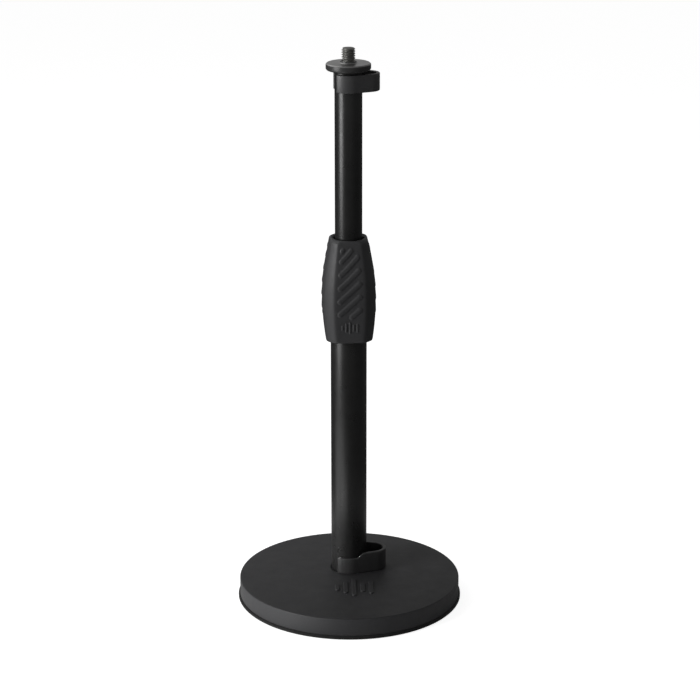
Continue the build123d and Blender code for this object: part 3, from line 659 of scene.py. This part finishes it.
def clip_path(ring, loop, loop_distance, mouth_deg):
    """Centre line of the strip: open ring, tangent walls, and a loop out along +x."""
    tangent = math.acos((ring - loop) / loop_distance)
    tip = math.pi - math.radians(mouth_deg)
    half = [(ring * math.cos(a), ring * math.sin(a)) for a in np.linspace(tip, tangent, 60)]
    x, y = half[-1]
    end_x, end_y = loop_distance + loop * math.cos(tangent), loop * math.sin(tangent)
    half += [(x + (end_x - x) * f, y + (end_y - y) * f) for f in np.linspace(0, 1, 26)[1:-1]]
    bend = [(loop_distance + loop * math.cos(a), loop * math.sin(a))
            for a in np.linspace(tangent, -tangent, 90)]
    return np.array(half + bend + [(x, -y) for x, y in reversed(half)])


def clip(name, node, tube_radius, loop_distance, loop_bore, azimuth_deg, mouth_deg, body,
         material, ring_top=None, step=(0, 1)):
    """Sweeps a rounded-rectangle section along the clip's centre line.

    With ring_top the ring stands lower, and the top edge climbs between the x values of step.
    """
    bottom, top = z_range(node)
    height = top - bottom
    if ring_top is None:
        ring_top = top
    path = clip_path(tube_radius + CLIP_GAP + STRIP / 2, loop_bore + STRIP / 2, loop_distance,
                     mouth_deg)
    along = np.gradient(path, axis=0)
    along /= np.linalg.norm(along, axis=1)[:, None]
    across = np.stack([-along[:, 1], along[:, 0]], 1)
    section = rounded([(sx * STRIP / 2, sy * height / 2, STRIP_ROUND)
                       for sx, sy in ((-1, -1), (1, -1), (1, 1), (-1, 1))])
    count = len(section)
    # stations: (path point, shift along it, section scale), with rounded ends
    nose = [(STRIP / 2 * f, max(math.sqrt(1 - f * f), 0.06)) for f in np.linspace(0, 1, 8)[1:]]
    stations = [(0, -shift, scale) for shift, scale in reversed(nose)]
    stations += [(i, 0.0, 1.0) for i in range(len(path))]
    stations += [(len(path) - 1, shift, scale) for shift, scale in nose]
    cos, sin = math.cos(math.radians(azimuth_deg)), math.sin(math.radians(azimuth_deg))
    verts = []
    for i, shift, scale in stations:
        centre = path[i] + along[i] * shift
        z_scale = 1.0 - (1.0 - scale) * (STRIP / height) * 0.6
        for offset, rise in section:
            point = centre + across[i] * offset * scale
            x = point[0] * cos - point[1] * sin
            y = point[0] * sin + point[1] * cos
            edge = ring_top + (top - ring_top) * float(smoothstep(*step, x))
            middle = bottom + height / 2 if rise < 0 else edge - height / 2
            verts.append((MAST[0] + x * MM, MAST[1] + y * MM, (middle + rise * z_scale) * MM))
    last = (len(stations) - 1) * count
    faces = []
    for start in range(0, last, count):
        faces += band(start, start + count, count)
    faces.append(tuple(range(count)))
    faces.append(tuple(range(last, last + count))[::-1])
    ob = new_object(name, verts, faces, sharp_deg=50)
    piece(ob, body, material, node)


clip("upper_clip_strip", "upper_cable_clip", UPPER_RADIUS, loop_distance=12.95, loop_bore=6.35,
     azimuth_deg=8.0, mouth_deg=41.0, body="upper_clip", material=CLIP)
clip("lower_clip_strip", "lower_cable_clip", LOWER_RADIUS, loop_distance=16.8, loop_bore=7.6,
     azimuth_deg=2.0, mouth_deg=57.0, body="lower_clip", material=CLIP_LOW_PAINTED_SHADE,
     ring_top=27.0, step=(5.6, 10.6))

# ---------------------------------------------------------------- floor (metres)
FLOOR_NEAR, FLOOR_FAR, FLOOR_RIGHT = 0.60, 0.07, 0.20    # albedo near, far, and added at right: a painted pool of light that only non-camera rays see


def floor_material():
    """White with a soft shadow to the camera.

    Every other ray meets a floor with a painted pool of light near the base and at the right, greyer
    far off, with glowing cards.
    """
    material = bpy.data.materials.new("pale_floor")
    material.use_nodes = True
    g = Graph(material.node_tree)
    position = g.node("ShaderNodeNewGeometry").outputs["Position"]
    place = g.xyz(position)
    distance = g.node("ShaderNodeVectorMath", {0: position}, operation="LENGTH").outputs["Value"]
    # 0 toward the front, growing to the left
    turn = g.calc("ARCTAN2", g.mul(place["X"], -1.0), g.mul(place["Y"], -1.0))

    def card(azimuths_deg, fades, strength):
        """A glowing patch between azimuths; fades are (distance span, levels)."""
        a = [math.radians(azimuth) for azimuth in azimuths_deg]
        sector = g.mul(g.smooth(turn, a[:2]), g.smooth(turn, a[2:], to=(1.0, 0.0)))
        reach = g.mul(*[g.smooth(distance, span, levels) for span, levels in fades])
        return g.mul(g.mul(sector, reach), strength)

    def lit(color, strength):
        diffuse = g.node("ShaderNodeBsdfDiffuse", {"Color": color})
        glow = g.node("ShaderNodeEmission", {"Strength": strength})
        return g.node("ShaderNodeAddShader", {0: diffuse.outputs[0], 1: glow.outputs[0]}).outputs[0]

    mottle = g.node("ShaderNodeTexNoise", {"Scale": 3.0}).outputs["Fac"]
    # painted pool of light: brighter near the base and added at the right
    tone = g.mul(g.smooth(distance, span=(0.11, 0.24), to=(FLOOR_NEAR, FLOOR_FAR)),
                 g.smooth(mottle, span=(0.2, 0.8), to=(0.94, 1.0)))
    tone = g.calc("ADD", tone, g.smooth(place["X"], span=(0.08, 0.45), to=(0.0, FLOOR_RIGHT)))
    color = g.node("ShaderNodeCombineColor", {0: tone, 1: tone, 2: tone}).outputs["Color"]
    left_card = card((22, 50, 82, 108), strength=1.30,
                     fades=(((0.20, 0.60), (1.0, 0.12)), ((0.09, 0.16), (0.35, 1.0))))
    low_card = card((4, 22, 38, 60), strength=0.95,
                    fades=(((0.085, 0.105), (0.0, 1.0)), ((0.15, 0.28), (1.0, 0.0))))
    hidden = lit(color, g.calc("ADD", left_card, low_card))
    seen = lit(grey(0.60), strength=0.87)
    camera_ray = g.node("ShaderNodeLightPath").outputs["Is Camera Ray"]
    mix = g.node("ShaderNodeMixShader", {0: camera_ray, 1: hidden, 2: seen})
    g.node("ShaderNodeOutputMaterial", {"Surface": mix.outputs[0]})
    return material


bm = bmesh.new()
bmesh.ops.create_grid(bm, x_segments=8, y_segments=8, size=12.0)
mesh = bpy.data.meshes.new("studio_floor")
bm.to_mesh(mesh)
bm.free()
floor = bpy.data.objects.new("studio_floor", mesh)
floor.location = (0, 0, -0.0004)
floor.data.materials.append(floor_material())
scene.collection.objects.link(floor)

# ---------------------------------------------------------------- world
# strengths: the dim room, a pale sweep low behind the stand, the right side, and the
# white added for the camera alone
WORLD_DIM, WORLD_BACK, WORLD_RIGHT, WORLD_SEEN = 0.13, 0.22, 0.12, 1.0


def build_world():
    world = bpy.data.worlds.new("studio")
    scene.world = world
    world.use_nodes = True
    g = Graph(world.node_tree)
    ray = g.xyz(g.node("ShaderNodeTexCoord").outputs["Generated"])
    back = g.mul(g.smooth(ray["Y"], span=(0.25, 0.85)), g.smooth(ray["Z"], span=(-0.02, 0.08)))
    back = g.mul(back, g.smooth(ray["Z"], span=(0.35, 0.70), to=(1.0, 0.0)))
    tone = g.calc("ADD", WORLD_DIM, g.mul(back, WORLD_BACK))
    tone = g.calc("ADD", tone, g.smooth(ray["X"], span=(0.25, 0.80), to=(0.0, WORLD_RIGHT)))
    camera_ray = g.node("ShaderNodeLightPath").outputs["Is Camera Ray"]
    tone = g.calc("ADD", tone, g.mul(camera_ray, WORLD_SEEN))
    background = g.node("ShaderNodeBackground", {"Strength": tone, "Color": (1, 1, 1)})
    g.node("ShaderNodeOutputWorld", {"Surface": background.outputs[0]})


build_world()


# ---------------------------------------------------------------- lights (metres)
def area(name, location, target, size, watts, spread_deg=180.0):
    light = bpy.data.lights.new(name, "AREA")
    light.shape = "RECTANGLE"
    light.size, light.size_y = size
    light.energy = watts
    light.spread = math.radians(spread_deg)
    ob = bpy.data.objects.new(name, light)
    ob.location = location
    aim = Vector(target) - Vector(location)
    ob.rotation_euler = aim.to_track_quat("-Z", "Y").to_euler()
    scene.collection.objects.link(ob)


area("key_softbox", location=(-1.35, -0.66, 0.60), target=(0, 0.0, 0.22), size=(0.70, 1.3),
     watts=21)
area("top_softbox", location=(-0.50, 0.32, 0.95), target=(-0.05, 0, 0.05), size=(0.7, 0.7),
     watts=2.1)
area("front_fill", location=(0.2, -2.6, 0.9), target=(0, 0, 0.2), size=(3.0, 1.6), watts=2.0)
# a small narrow lamp on the foot of the tube
area("foot_grid", location=(-0.560, -0.136, 0.092), target=(0, 0.014, 0.036), size=(0.03, 0.03),
     watts=0.006, spread_deg=6.0)

# ---------------------------------------------------------------- camera (metres, degrees)
CAMERA_PLACE = (-0.0238714574, -1.53448, 0.67796)
PITCH_DOWN, TILT = 17.654, 0.36
camera_data = bpy.data.cameras.new("camera")
camera_data.sensor_fit = "HORIZONTAL"
camera_data.sensor_width = 36.0
camera_data.lens = 118.5865714
camera_data.shift_x = 0.0565
camera_data.clip_start, camera_data.clip_end = 0.05, 60
camera = bpy.data.objects.new("camera", camera_data)
camera.location = CAMERA_PLACE
camera.rotation_euler = (math.radians(90 - PITCH_DOWN), math.radians(TILT), 0)
scene.collection.objects.link(camera)
scene.camera = camera

scene.view_settings.view_transform = "Standard"
scene.view_settings.look = "None"
scene.view_settings.exposure = 0.0
scene.view_settings.gamma = 1.0
